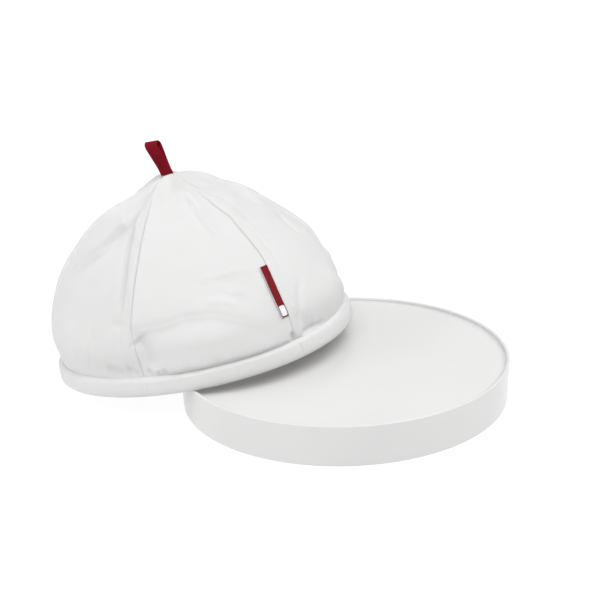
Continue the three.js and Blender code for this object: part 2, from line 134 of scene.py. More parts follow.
# Sizes that follow
hem_thickness = HOOP_WIRE + 2 * (FIT_GAP + HEM_CLOTH)
hem_radius = RIM_RADIUS - RIM_WIDTH - SEAT_CLEARANCE
mouth_radius = hem_radius - HEM_CLOTH - FIT_GAP
bulge_radius = mouth_radius - BULGE_SETBACK
dome_height = BULGE_HEIGHT + CROWN_RISE
cloth_bottom = HEM_HEIGHT - HEM_OVERLAP
dish_floor = TRAY_HEIGHT - DISH_DEPTH
lining_inset = CLOTH_THICKNESS + FIT_GAP + LINING_EASE
channel_width = RIB_MARGIN + RIB_WIDTH + FIT_GAP
channel_raise = RIB_THICKNESS + FIT_GAP
crown_hole_radius = math.hypot(LOOP_WIDTH / 2, RIBBON_THICKNESS) + CROWN_HOLE_CLEARANCE

# Seams as the photograph shows them: how far the left one and the two front ones wander, (height, degrees)
SEAM_WANDER = {
    0: ((0, 0), (25, -1), (60, -4), (150, -4), (178, 0)),
    1: ((0, 1.1), (12, 1.6), (22, 0.4), (39, 0.2), (66, -0.2), (91, 1.6), (115, 3.8), (138, 5.0), (156, 6.3),
        (170, 6.4), (179, 7.2)),
    2: ((0, 1.3), (21, -0.5), (29, -0.9), (46, -1.3), (59, -1.7), (71, -1.6), (82, -0.9), (94, 0.4),
        (103, 1.4), (126, 2), (140, 3.6), (151, 1.6), (164, 1.4), (173, -5), (177, -10.5)),
}
STRAIGHT = ((0, 0),)


def smooth(value, low, high):
    """0 below low, 1 above high, and a soft step between."""
    share = np.clip((value - low) / (high - low), 0, 1)
    return share * share * (3 - 2 * share)


def bell(value, spread):
    return np.exp(-(value / spread) ** 2)


def turn_from(degrees, angle):
    """Turn from an angle, between half a circle back and half a circle on."""
    return (degrees - angle + 180) % 360 - 180


def full_turn(count):
    """Even angles round a circle, in radians."""
    return np.linspace(0, 2 * math.pi, count, endpoint=False)


def ring_points(radius, angle, height, middle=(0, 0)):
    """Places at distances and angles (radians) round a middle, and at heights."""
    x = middle[0] + radius * np.cos(angle)
    y = middle[1] + radius * np.sin(angle)
    return np.stack(np.broadcast_arrays(x, y, height), axis=-1)


def ripple(points, layers):
    """Faint unevenness at places, in layers of soft noise: (size of the ripples, depth)."""
    relief = np.zeros(points.shape[:-1])
    for size, depth in layers:
        waves = [noise.noise(Vector(point) / size) for point in points.reshape(-1, 3)]
        relief += depth * np.array(waves).reshape(relief.shape)
    return relief


# Place of the cloche, read from its hoop
def node_points(name):
    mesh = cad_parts[name].data
    flat = np.zeros(3 * len(mesh.vertices))
    mesh.vertices.foreach_get("co", flat)
    return flat.reshape(-1, 3)


def cloche_frame():
    """Origin and axes (rows) of the cloche's own frame, in metres."""
    ring = node_points("hem_hoop")
    up = np.linalg.svd(ring - ring.mean(axis=0), full_matrices=False)[2][2]
    up = up * np.sign(up[2])
    downhill = up * up[2] - np.array((0, 0, 1))
    downhill = downhill / np.linalg.norm(downhill)
    axes = np.stack((downhill, np.cross(up, downhill), up))
    local = ring @ axes.T
    middle = (local.min(axis=0) + local.max(axis=0)) / 2
    middle[2] -= MM * HEM_BELLY
    return middle @ axes, axes


cloche_origin, cloche_axes = cloche_frame()


def place(points):
    """Points of the cloche's frame, in millimetres, to the shared frame, in metres."""
    return cloche_origin + MM * np.asarray(points, float) @ cloche_axes


# Meshes
def make_object(name, points, faces, material, uv=None):
    mesh = bpy.data.meshes.new(name)
    mesh.from_pydata([tuple(point) for point in points], [], faces)
    mesh.polygons.foreach_set("use_smooth", [True] * len(mesh.polygons))
    if uv is not None:
        layer = mesh.uv_layers.new(name="cloth")
        corners = np.zeros(len(mesh.loops), np.int32)
        mesh.loops.foreach_get("vertex_index", corners)
        layer.data.foreach_set("uv", np.asarray(uv, np.float32)[corners].ravel())
    mesh.update()
    piece = bpy.data.objects.new(name, mesh)
    bpy.context.scene.collection.objects.link(piece)
    piece.data.materials.append(material)
    return piece


def grid_faces(rows, columns, wrap_columns=False, wrap_rows=False):
    faces = []
    for row in range(rows if wrap_rows else rows - 1):
        for column in range(columns if wrap_columns else columns - 1):
            right = (column + 1) % columns
            above = (row + 1) % rows
            faces.append((row * columns + column, row * columns + right,
                          above * columns + right, above * columns + column))
    return faces


def make_grid(name, grid, material, uv=None, wrap_columns=False, wrap_rows=False):
    """A sheet of quads over a grid of placed points, rows by columns."""
    rows, columns = grid.shape[:2]
    faces = grid_faces(rows, columns, wrap_columns, wrap_rows)
    flat_uv = None if uv is None else uv.reshape(-1, 2)
    return make_object(name, grid.reshape(-1, 3), faces, material, flat_uv)


def sheet_uv(across, along):
    """Flat places of a sheet, in metres, from places across it and along it in millimetres."""
    return MM * np.stack(np.broadcast_arrays(across, along), axis=-1)


def thicken(piece, millimetres, offset=-1):
    solidify = piece.modifiers.new("thickness", "SOLIDIFY")
    solidify.thickness = millimetres * MM
    solidify.offset = offset
    return piece


# Materials
# The wave texture's radians per unit of length at a scale of 1
WAVE_RATE = 20


class Look:
    """A material, and the wiring of its shader."""

    def __init__(self, name):
        self.material = bpy.data.materials.new(name)
        self.material.use_nodes = True
        self.nodes = self.material.node_tree.nodes
        self.link = self.material.node_tree.links.new
        self.shader = self.nodes["Principled BSDF"]

    def set(self, values):
        for socket, value in values.items():
            self.shader.inputs[socket].default_value = value

    def places(self, kind):
        return self.nodes.new("ShaderNodeTexCoord").outputs[kind]

    def add(self, kind, **inputs):
        node = self.nodes.new(kind)
        for key, value in inputs.items():
            node.inputs[key].default_value = value
        return node

    def threads(self, places, direction, pitch):
        """Threads across one direction, pitch metres apart."""
        scale = 2 * math.pi / (WAVE_RATE * pitch)
        wave = self.add("ShaderNodeTexWave", Scale=scale, Distortion=0.6, Detail=1)
        wave.bands_direction = direction
        self.link(places, wave.inputs["Vector"])
        return wave.outputs["Fac"]

    def noise(self, places, **inputs):
        texture = self.add("ShaderNodeTexNoise", **inputs)
        self.link(places, texture.inputs["Vector"])
        return texture.outputs["Fac"]

    def combine(self, operation, first, second):
        """One value from two, each a socket or a number."""
        node = self.nodes.new("ShaderNodeMath")
        node.operation = operation
        for value, socket in zip((first, second), node.inputs):
            if isinstance(value, (int, float)):
                socket.default_value = value
            else:
                self.link(value, socket)
        return node.outputs[0]

    def bump(self, height, strength, depth):
        bump = self.add("ShaderNodeBump", Strength=strength, Distance=depth)
        self.link(height, bump.inputs["Height"])
        self.link(bump.outputs["Normal"], self.shader.inputs["Normal"])

    def tones(self, amount, dark, light, low=0, high=1):
        """Base colour from a dark tone at a low amount to a light one at a high amount."""
        ramp = self.nodes.new("ShaderNodeValToRGB")
        for stop, position, tone in zip(ramp.color_ramp.elements, (low, high), (dark, light)):
            stop.position = position
            stop.color = (*tone, 1)
        self.link(amount, ramp.inputs["Fac"])
        self.link(ramp.outputs["Color"], self.shader.inputs["Base Color"])

    def roughness(self, amount, smoothest, roughest):
        span = self.add("ShaderNodeMapRange", **{"To Min": smoothest, "To Max": roughest})
        self.link(amount, span.inputs["Value"])
        self.link(span.outputs["Result"], self.shader.inputs["Roughness"])


# Height of the slubs against the weave, and how far the weave shows in the colour
SLUB_SHARE = 1.4
THREAD_TINT = 0.3


def make_cloth(name, light, dark, pitch, roughness, sheen, weave_depth, mottle_scale, specular=0.2):
    """Plain-woven cloth with uneven threads and faint mottling; pitch is the threads' spacing in metres."""
    look = Look(name)
    uv = look.places("UV")
    weave = look.combine("MULTIPLY", look.threads(uv, "X", pitch), look.threads(uv, "Y", pitch))
    slub = look.noise(uv, Scale=420, Detail=3, Roughness=0.65)
    slub_height = look.combine("MULTIPLY", slub, SLUB_SHARE)
    look.bump(look.combine("ADD", weave, slub_height), strength=1, depth=weave_depth)
    mottle = look.noise(look.places("Object"), Scale=mottle_scale, Detail=4, Roughness=0.6)
    thread_tint = look.combine("MULTIPLY", weave, THREAD_TINT)
    look.tones(look.combine("ADD", thread_tint, mottle), dark, light, low=0.25, high=0.85)
    look.set({"Roughness": roughness, "Sheen Weight": sheen, "Sheen Roughness": 0.5,
              "Specular IOR Level": specular})
    return look.material


def make_glaze():
    """White glaze: a smooth coat that pools and waves slightly."""
    look = Look("glazed_ceramic")
    places = look.places("Object")
    pooling = look.noise(places, Scale=9, Detail=2, Roughness=0.4)
    look.tones(pooling, dark=(0.675, 0.675, 0.671), light=(0.705, 0.704, 0.700), low=0.3, high=0.75)
    orange_peel = look.noise(places, Scale=60, Detail=2, Roughness=0.5)
    look.bump(orange_peel, strength=0.25, depth=0.0004)
    look.roughness(pooling, smoothest=0.16, roughest=0.26)
    look.set({"Specular IOR Level": 0.3, "Coat Weight": 0.1, "Coat Roughness": 0.08})
    return look.material


def make_plastic():
    look = Look("rib_plastic")
    grain = look.noise(look.places("Object"), Scale=700, Detail=2)
    look.bump(grain, strength=0.3, depth=0.0001)
    look.tones(grain, dark=(0.82, 0.82, 0.79), light=(0.88, 0.88, 0.86))
    look.set({"Roughness": 0.45})
    return look.material


def make_steel():
    look = Look("hoop_steel")
    drawn = look.noise(look.places("Object"), Scale=260, Detail=3)
    look.roughness(drawn, smoothest=0.25, roughest=0.45)
    look.tones(drawn, dark=(0.46, 0.47, 0.48), light=(0.60, 0.61, 0.62))
    look.set({"Metallic": 1})
    return look.material


outer_cloth = make_cloth("outer_cloth", light=(0.722, 0.722, 0.719), dark=(0.688, 0.688, 0.684), pitch=0.0006,
                         roughness=0.88, sheen=0.15, weave_depth=0.00012, mottle_scale=22)
lining_cloth = make_cloth("lining_cloth", light=(0.82, 0.81, 0.79), dark=(0.78, 0.77, 0.75), pitch=0.0005,
                          roughness=0.9, sheen=0.1, weave_depth=0.0001, mottle_scale=18)
webbing = make_cloth("webbing", light=(0.235, 0.010, 0.020), dark=(0.175, 0.007, 0.014), pitch=0.0009,
                     roughness=0.7, sheen=0, weave_depth=0.00022, mottle_scale=120, specular=0.02)
label_cloth = make_cloth("label_cloth", light=(0.205, 0.016, 0.021), dark=(0.160, 0.010, 0.014), pitch=0.0004,
                         roughness=0.6, sheen=0, weave_depth=0.0001, mottle_scale=150, specular=0.05)
# White for the label's printed block, and for its sides, where it is a painted highlight
label_print_and_edge_highlight = make_cloth("label_print_and_edge_highlight", light=(0.88, 0.88, 0.88), dark=(0.84, 0.84, 0.84), pitch=0.0004,
                         roughness=0.5, sheen=0.15, weave_depth=0.0001, mottle_scale=150)
glaze = make_glaze()
rib_plastic = make_plastic()
hoop_steel = make_steel()


# Curves
CURVE_STEPS = 16


def oval_arc(centre_x, centre_y, run, rise, start, end, steps=8):
    angles = np.radians(np.linspace(start, end, steps + 1))
    return [(centre_x + run * math.cos(angle), centre_y + rise * math.sin(angle)) for angle in angles]


def arc(centre_x, centre_y, radius, start, end, steps=8):
    return oval_arc(centre_x, centre_y, radius, radius, start, end, steps)


def path_lengths(points):
    """Distances from the first of a line of points to each."""
    return np.concatenate(([0], np.cumsum(np.hypot(*np.diff(points, axis=0).T))))


def smooth_line(corners, steps):
    """Evenly spaced points of a soft curve through corner points."""
    padded = np.concatenate((2 * corners[:1] - corners[1:2], corners, 2 * corners[-1:] - corners[-2:-1]))
    points = []
    for before, start, end, after in zip(padded, padded[1:], padded[2:], padded[3:]):
        share = np.linspace(0, 1, CURVE_STEPS, endpoint=False)[:, None]
        points.append(0.5 * (2 * start + (end - before) * share
                             + (2 * before - 5 * start + 4 * end - after) * share ** 2
                             + (3 * start - before - 3 * end + after) * share ** 3))
    points = np.concatenate(points + [corners[-1:]])
    lengths = path_lengths(points)
    even = np.linspace(0, lengths[-1], steps)
    return np.stack([np.interp(even, lengths, points[:, axis]) for axis in (0, 1)], axis=-1)


def line(start, end, steps):
    """Points between two ends, without the ends."""
    return list(np.linspace(start, end, steps + 1)[1:-1])


# Tray
TRAY_TURNS = 288
FLOOR_RINGS = 12
WALL_RINGS = 6


def tray_profile():
    """(radius, height) from under the plate, round the foot and the rim, to the dish's middle."""
    foot_radius = RIM_RADIUS - WALL_DRAFT
    plate_bottom = dish_floor - PLATE_THICKNESS
    inner_top = RIM_RADIUS - WALL_THICKNESS - WALL_DRAFT * (TRAY_HEIGHT - plate_bottom) / TRAY_HEIGHT
    dish_wall = RIM_RADIUS - RIM_WIDTH
    underside = arc(inner_top - UNDERSIDE_FILLET, plate_bottom - UNDERSIDE_FILLET, UNDERSIDE_FILLET, 90, 0)
    inner_wall = foot_radius - WALL_THICKNESS
    inner_foot = [(inner_wall, FOOT_CHAMFER), (inner_wall + FOOT_CHAMFER, 0)]
    foot = arc(foot_radius - FOOT_ROUND, FOOT_ROUND, FOOT_ROUND, 270, 360)
    rim = arc(RIM_RADIUS - RIM_ROUND, TRAY_HEIGHT - RIM_ROUND, RIM_ROUND, 0, 90)
    rim += arc(dish_wall + GLAZE_EDGE, TRAY_HEIGHT - GLAZE_EDGE, GLAZE_EDGE, 90, 180)
    pool_rise = DISH_DEPTH - GLAZE_EDGE
    dish = oval_arc(dish_wall - GLAZE_POOL, dish_floor + pool_rise, GLAZE_POOL, pool_rise, 360, 270)[1:]
    floor_rings = line(dish[-1], (0, dish_floor), FLOOR_RINGS)
    plate_rings = line((0, plate_bottom), underside[0], FLOOR_RINGS)
    wall = line(foot[-1], rim[0], WALL_RINGS)
    return plate_rings + underside + inner_foot + foot + wall + rim + dish + floor_rings


def make_tray():
    low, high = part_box("tray")
    centre = np.array(((low.x + high.x) / 2, (low.y + high.y) / 2, low.z))
    profile = np.array(tray_profile())
    rings = ring_points(profile[:, :1], full_turn(TRAY_TURNS), profile[:, 1:])
    middles = ((0, 0, dish_floor - PLATE_THICKNESS), (0, 0, dish_floor))
    points = centre + MM * np.concatenate((rings.reshape(-1, 3), middles))
    faces = grid_faces(len(profile), TRAY_TURNS, wrap_columns=True)
    last_start = (len(profile) - 1) * TRAY_TURNS
    bottom_middle = len(points) - 2
    for step in range(TRAY_TURNS):
        after = (step + 1) % TRAY_TURNS
        faces.append((bottom_middle, after, step))
        faces.append((bottom_middle + 1, last_start + step, last_start + after))
    piece = make_object("glazed_tray", points, faces, glaze)
    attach(piece, "tray")
    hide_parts("tray")


# Dome of cloth
def cloth_radius(height):
    rise = np.clip((height - BULGE_HEIGHT) / CROWN_RISE, 0, 1)
    above = bulge_radius * (1 - rise ** SHOULDER_POWER) ** CROWN_POWER
    fall = (BULGE_HEIGHT - height) / (BULGE_HEIGHT - cloth_bottom)
    below = bulge_radius + BULGE_SETBACK * fall ** 2
    tuck = TUCK_DEPTH * bell(height - HEM_HEIGHT - TUCK_RISE, TUCK_SPREAD)
    return np.where(height >= BULGE_HEIGHT, above, below) - tuck


def height_at_radius(radius):
    rise = (1 - (radius / bulge_radius) ** (1 / CROWN_POWER)) ** (1 / SHOULDER_POWER)
    return BULGE_HEIGHT + rise * CROWN_RISE


OUTLINE_SAMPLES = 4000
SLOPE_STEP = 0.5
# Nearness to the crown at which the lop starts, is full, and begins to ease again
LOP_START, LOP_FULL, LOP_EASE = 0.05, 0.8, 0.75
crown_height = height_at_radius(crown_hole_radius)
outline_shares = np.sin(np.linspace(0, math.pi / 2, OUTLINE_SAMPLES))
outline_heights = cloth_bottom + (crown_height - cloth_bottom) * outline_shares
outline_radii = cloth_radius(outline_heights)
outline_rises = path_lengths(np.stack((outline_radii, outline_heights), axis=-1))
outline_length = outline_rises[-1]


class Rows:
    """Levels of the dome at distances up its outline, each value a column: radius, height, direction out,
    freedom from the hem, and near the crown how far the gores hollow, the cloth lops and the cloth sinks."""

    def __init__(self, rises):
        self.rise = np.reshape(rises, (-1, 1))
        self.radius = np.interp(self.rise, outline_rises, outline_radii)
        self.height = np.interp(self.rise, outline_rises, outline_heights)
        radius_change = self._slope(outline_radii)
        height_change = self._slope(outline_heights)
        self.freedom = smooth(self.height, HEM_HEIGHT, HEM_HEIGHT + HEM_RELEASE)
        nearness = np.clip((HOLLOW_REACH - self.radius) / (HOLLOW_REACH - crown_hole_radius), 0, 1)
        self.below_crown = (4 * nearness * (1 - nearness)) ** HOLLOW_SOFTNESS
        nearness = np.clip((LOP_REACH - self.radius) / (LOP_REACH - crown_hole_radius), 0, 1)
        crown_rest = 1 - (1 - LOP_AT_CROWN) * smooth(nearness, LOP_EASE, 1)
        self.lop = LOP_DEPTH * smooth(nearness, LOP_START, LOP_FULL) * crown_rest
        self.sink = CROWN_SINK * (1 - smooth(self.radius, crown_hole_radius, SINK_REACH))
        out_height = -radius_change * self.freedom
        size = np.hypot(height_change, out_height)
        self.out_radial = height_change / size
        self.out_height = out_height / size

    def _slope(self, values):
        after = np.interp(self.rise + SLOPE_STEP, outline_rises, values)
        before = np.interp(self.rise - SLOPE_STEP, outline_rises, values)
        return after - before


def rise_at(height):
    return np.interp(height, outline_heights, outline_rises)


def seam_degrees(seam, height):
    """Angle of a seam, which wanders with height where the photograph shows it."""
    degrees = FIRST_SEAM_ANGLE + seam * 360 / GORE_COUNT
    heights, offsets = zip(*SEAM_WANDER.get(seam % GORE_COUNT, STRAIGHT))
    return degrees + np.interp(height, heights, offsets)


def dome_middle(height):
    """Where the dome's middle lies at a height: the crown is shifted, and the cloth sways beside it."""
    shift = CROWN_SHIFT * (height / dome_height) ** 2
    pull = CROWN_PULL * (height / dome_height) ** PULL_POWER
    sway = BODY_SWAY * smooth(height, SWAY_START, SWAY_END) - pull
    shift_angle, sway_angle = math.radians(CROWN_SHIFT_ANGLE), math.radians(SWAY_ANGLE)
    return [shift * part(shift_angle) + sway * part(sway_angle) for part in (math.cos, math.sin)]


def lop_facing(angle):
    """How far an angle (radians) faces the side that the crown lops to."""
    return np.maximum(0, np.cos(angle - math.radians(LOP_ANGLE)))


def dome_points(rows, degrees, outward):
    """Places on the dome, rows by columns, moved outward from its plain outline."""
    angle = np.radians(degrees)
    moved = outward - rows.lop * lop_facing(angle) ** 2 - rows.sink
    radius = rows.radius + moved * rows.out_radial
    height = rows.height + moved * rows.out_height
    return ring_points(radius, angle, height, dome_middle(rows.height))


def gore_swell(rows, share):
    """How far a gore stands out: hollow below the crown, flattened lower down, puffed out over the hem."""
    arch = 4 * share * (1 - share)
    flattening = smooth(rows.height, HEM_HEIGHT, HEM_HEIGHT + FLATNESS_RISE)
    flat = GORE_FLATNESS * flattening * rows.radius / bulge_radius
    puff = PUFF_DEPTH * bell(rows.height - BULGE_HEIGHT, PUFF_SPREAD) * rows.freedom
    return arch * (puff - flat - CROWN_HOLLOW * rows.below_crown)


# Folds of the worn cloth, as the photograph shows them. Each follows a line of places (degrees, height).
# Most are bell-shaped ridges or creases. One with a reach is a step, which lifts the cloth on one side of its
# line and lowers it on the other. The ends are the shares of the line over which the fold fades in and out.
# Lift, width and reach are in millimetres.
Fold = namedtuple("Fold", "lift width ends line reach", defaults=(None,))
FOLDS = (
    # shoulder across the front gore, with the cloth turned under below it
    Fold(1.4, 4.5, (0.03, 0.3), ((99.2, 65), (104.7, 65.3), (110.5, 65.8), (120.6, 70), (131, 66.6),
         (142.6, 52.3), (151.5, 36)), reach=22),
    Fold(-3, 8, (0.1, 0.3), ((100.5, 58), (103.2, 48), (104, 36), (106.5, 24))),
    Fold(0.8, 14, (0.4, 0.4), ((108, 46), (125, 50), (143, 44))),
    # cloth puffed out over the front of the hem
    Fold(3, 13, (0.25, 0.2), ((98, 24), (120, 23), (150, 24), (166, 26))),
    # facet below the crown on the front gore
    Fold(-3.4, 3.5, (0.2, 0.45), ((150, 172), (144.1, 152.8), (145.8, 133.6), (146.2, 120)), reach=16),
    # small wrinkles in the middle of the front gore
    Fold(0.8, 3.5, (0.4, 0.3), ((127, 98), (132.8, 98.4), (144.7, 98), (155.3, 93.2))),
    Fold(0.9, 3.5, (0.4, 0.4), ((126.7, 80), (136.6, 76.3), (142.1, 66.4))),
    Fold(0.7, 4, (0.4, 0.4), ((150, 76), (141, 82), (134.6, 92))),
    # diagonal fold of the left gore, from the rib channel down to the left
    Fold(-4.2, 4, (0.1, 0.4), ((91.7, 152.4), (83.9, 146.8), (74.9, 135.6), (64.3, 125.6), (58.4, 116.7),
         (52, 110.4)), reach=18),
    Fold(-4, 4.5, (0.15, 0.4), ((92, 168), (91, 158), (89, 151), (83.9, 146.8), (76, 137), (67, 128))),
    # crease along the left rib channel
    Fold(-2.8, 3.5, (0.15, 0.15), ((88, 171), (90, 160.7), (94.3, 146.5), (95.4, 132.3), (96.7, 113.3),
         (95.9, 91.8), (95.1, 76.6))),
    Fold(-1.4, 5, (0.4, 0.3), ((90, 74), (94, 70), (98, 69))),
    # cloth hanging over the hem at the far left
    Fold(1.7, 3, (0.4, 0.05), ((57, 40), (56, 28), (57, 18)), reach=12),
    Fold(-0.6, 2.2, (0.5, 0.1), ((77.7, 91.7), (79.6, 57.2), (76, 18))),
    Fold(0.9, 8, (0.4, 0.3), ((66, 78), (68, 52), (68.5, 29))),
    # folds of the right gore
    Fold(2.2, 4, (0.2, 0.4), ((216, 164), (214.1, 154.2), (205.5, 145), (204.4, 136.3)), reach=16),
    Fold(-3, 4, (0.3, 0.4), ((212, 164), (209, 153), (201, 144), (200, 134))),
    # fuller cloth at the right of the crown
    Fold(1.63, 12, (0.3, 0.3), ((175, 177), (205, 173), (240, 170))),
    Fold(-2.2, 5, (0.4, 0.4), ((209, 128.6), (202, 117.8), (200.3, 105.8), (198.5, 96))),
    Fold(-1.4, 4, (0.4, 0.2), ((174.6, 78.3), (167.4, 61.8), (164, 44.8), (163.2, 25))),
    Fold(1, 6, (0.4, 0.3), ((176.9, 91.5), (190.5, 81.6), (205.2, 73.8)), reach=22),
    Fold(1, 3, (0.3, 0.3), ((161, 55), (162, 48), (162, 40))),
    # the right outline pressed flat below a corner
    Fold(-3.7, 30, (0.3, 0.2), ((224, 92), (219, 70), (212, 47), (206, 28))),
    Fold(1.2, 5, (0.4, 0.4), ((196, 70), (218, 64), (236, 60))),
    # crease along the right rib channel
    Fold(-2.8, 3.5, (0.15, 0.25), ((178, 172), (175.4, 159.2), (174.3, 149.7), (172.7, 139.3),
         (171.2, 129.1), (170.5, 118), (168.9, 106.6), (166.6, 96.9))),
    # crimps where the cloth is caught in the hem
    Fold(-2, 5, (0, 0), ((87, 27), (90.5, 23.4))),
    Fold(-2, 3.5, (0, 0), ((95, 27), (97.2, 21.5))),
    Fold(-1.8, 2.4, (0, 0), ((102.7, 23.4), (103.2, 18.5))),
    Fold(-1.5, 2, (0, 0), ((106.3, 21.5), (106.7, 17.4))),
    Fold(-1.8, 2.4, (0, 0), ((108.8, 22.5), (109.2, 17.3))),
    Fold(-1.5, 2.8, (0, 0), ((116.9, 21.5), (119.4, 17.9))),
    Fold(-2.6, 3, (0, 0), ((157.7, 25), (159, 18.2))),
    Fold(-1.6, 3, (0.1, 0.3), ((163.5, 20.3), (169.7, 21.7), (178, 20))),
)


def fold_place(fold, rows, degrees):
    """Distance of each place from a fold's line, side of the line, and share along it."""
    angle = np.radians(degrees)
    corners = [(math.radians(turn), rise_at(height)) for turn, height in fold.line]
    spans = len(corners) - 1
    best = np.full(angle.shape, np.inf)
    side = np.zeros(angle.shape)
    along = np.zeros(angle.shape)
    for span in range(spans):
        (start_angle, start_rise), (end_angle, end_rise) = corners[span], corners[span + 1]
        run_across = (end_angle - start_angle) * rows.radius
        run_up = end_rise - start_rise
        across = (angle - start_angle) * rows.radius
        up = rows.rise - start_rise
        share = np.clip((across * run_across + up * run_up) / (run_across ** 2 + run_up ** 2), 0, 1)
        distance = np.hypot(across - share * run_across, up - share * run_up)
        nearer = distance < best
        best = np.where(nearer, distance, best)
        side = np.where(nearer, np.sign(run_across * up - run_up * across), side)
        along = np.where(nearer, (span + share) / spans, along)
    return best, side, along


# All folds are deepened alike. The fades start just outside the line, so that an end of 0 doesn't fade.
FOLD_DEPTH = 1.35
FADE_START = -0.001


def fold_relief(rows, degrees):
    relief = np.zeros(degrees.shape)
    for fold in FOLDS:
        distance, side, along = fold_place(fold, rows, degrees)
        start, end = fold.ends
        fade = smooth(along, FADE_START, start) * smooth(1 - along, FADE_START, end)
        shape = bell(distance, fold.width)
        if fold.reach:
            shape = side * (1 - shape) * np.exp(-distance / fold.reach)
        relief += fold.lift * fade * shape
    return relief * FOLD_DEPTH


# Gathers all round, where the cloth runs into the hem: the ranges that they are drawn from
GATHER_COUNT = 74
GATHER_SEED = 11
GATHER_WIDTH = (2.5, 7)
GATHER_LIFT = (-0.9, 0.7)
GATHER_REACH = (6, 20)
gather_source = np.random.default_rng(GATHER_SEED)
gather_angles = gather_source.uniform(0, 360, GATHER_COUNT)
gather_widths = gather_source.uniform(*GATHER_WIDTH, GATHER_COUNT)
gather_lifts = gather_source.uniform(*GATHER_LIFT, GATHER_COUNT)
gather_reaches = gather_source.uniform(*GATHER_REACH, GATHER_COUNT)


def gather_relief(rows, degrees):
    relief = np.zeros(degrees.shape)
    above = np.maximum(rows.height - HEM_HEIGHT - TUCK_RISE, 0)
    for angle, width, lift, reach in zip(gather_angles, gather_widths, gather_lifts, gather_reaches):
        distance = np.radians(turn_from(degrees, angle)) * rows.radius
        relief += lift * bell(distance, width) * bell(above, reach)
    return relief * rows.freedom


CLOTH_RIPPLES = ((34, 0.55), (13, 0.2))


def ripple_relief(rows, degrees):
    plain = dome_points(rows, degrees, np.zeros(degrees.shape))
    return ripple(plain, CLOTH_RIPPLES) * rows.freedom


# How far below the crown's tip the cloth is drawn tight, and where it lies free
TIGHT_REACH, FREE_REACH = 5, 18


def crown_freedom(rows):
    """0 at the crown, where the cloth is drawn tight, and 1 lower down."""
    return 1 - smooth(rows.rise, outline_length - FREE_REACH, outline_length - TIGHT_REACH)


def cloth_relief(rows, degrees):
    folds = fold_relief(rows, degrees) * rows.freedom
    relief = folds + gather_relief(rows, degrees) + ripple_relief(rows, degrees)
    return relief * crown_freedom(rows)


# How a gore's edges lie: they roll in at the seam, and the channels stand up beside it
SEAM_DIP = 0.5
SEAM_ROLL = 1.0
CHANNEL_LIP = 2.0
CHANNEL_SHOULDER = 2.4
CHANNEL_STITCH = 0.4
STITCH_WIDTH = 1.5
CHANNEL_EASE = 0.4
CHANNEL_LOW_SHARE = 0.4
CHANNEL_LOW, CHANNEL_HIGH = 50, 115
CHANNEL_TIP = 9
GORE_ROWS = 150
GORE_COLUMNS = 104


def column_shares(count):
    """Shares across a gore, twice as close together at the seams."""
    even = np.linspace(0, 1, count)
    return (even + (1 - np.cos(math.pi * even)) / 2) / 2


def gore_grid(gore, rows, share):
    """Angles of a gore's places at shares across it, and its width in each row."""
    start = seam_degrees(gore, rows.height)
    span = seam_degrees(gore + 1, rows.height) - start
    return start + span * share, np.radians(span) * rows.radius


def channel_lift(rows):
    """How far the channels stand up: less where the cloth is slack low down, and not at the crown's tip."""
    low_share = CHANNEL_LOW_SHARE + (1 - CHANNEL_LOW_SHARE) * smooth(rows.height, CHANNEL_LOW, CHANNEL_HIGH)
    tip_share = 1 - smooth(rows.rise, outline_length - CHANNEL_TIP, outline_length)
    return channel_raise * low_share * tip_share


def edge_relief(rows, share, width, channelled):
    """The rolled seam edges, and the raised channels where a gore carries them."""
    from_seam = np.minimum(share, 1 - share) * width
    relief = -SEAM_DIP * bell(from_seam, SEAM_ROLL)
    if channelled:
        channel = np.minimum(channel_width, WIDEST_CHANNEL_SHARE * width)
        rising = smooth(from_seam, -CHANNEL_EASE, CHANNEL_LIP)
        falling = 1 - smooth(from_seam, channel - CHANNEL_EASE, channel + CHANNEL_SHOULDER)
        relief = relief + channel_lift(rows) * rising * falling
        relief = relief - CHANNEL_STITCH * bell(from_seam - channel - CHANNEL_SHOULDER, STITCH_WIDTH)
    return relief * rows.freedom


# The crown's tip turns down round the ribbon, in a slot with rounded ends
CROWN_TIP_ROWS = 6
CROWN_TIP_DROP = 0.8
TIP_BEND = 1.5
SLOT_SIDE_ROOM = 0.5
SLOT_FACE_ROOM = 0.9
SLOT_POWER = 4
crown_middle = np.array(dome_middle(crown_height))


def slot_radius(degrees):
    turn = np.radians(degrees - LOOP_TURN)
    across = np.cos(turn) / (LOOP_WIDTH / 2 + SLOT_SIDE_ROOM)
    through = np.sin(turn) / (RIBBON_THICKNESS + SLOT_FACE_ROOM)
    return (np.abs(across) ** SLOT_POWER + np.abs(through) ** SLOT_POWER) ** (-1 / SLOT_POWER)


def crown_tip(last_row, degrees):
    """Rows that turn down from the crown hole to the ribbon's sides, and how far up the cloth each lies."""
    start_radius = np.hypot(*(last_row[:, :2] - crown_middle).T)
    down = np.linspace(0, 1, CROWN_TIP_ROWS + 1)[1:, None]
    radius = start_radius + (slot_radius(degrees) - start_radius) * down
    height = last_row[:, 2] - CROWN_TIP_DROP * down ** TIP_BEND
    tip = ring_points(radius, np.radians(degrees), height, crown_middle)
    return tip, outline_length + start_radius.mean() * down


def even_width(rows):
    """Width of a gore whose seams don't wander."""
    return np.radians(360 / GORE_COUNT) * rows.radius


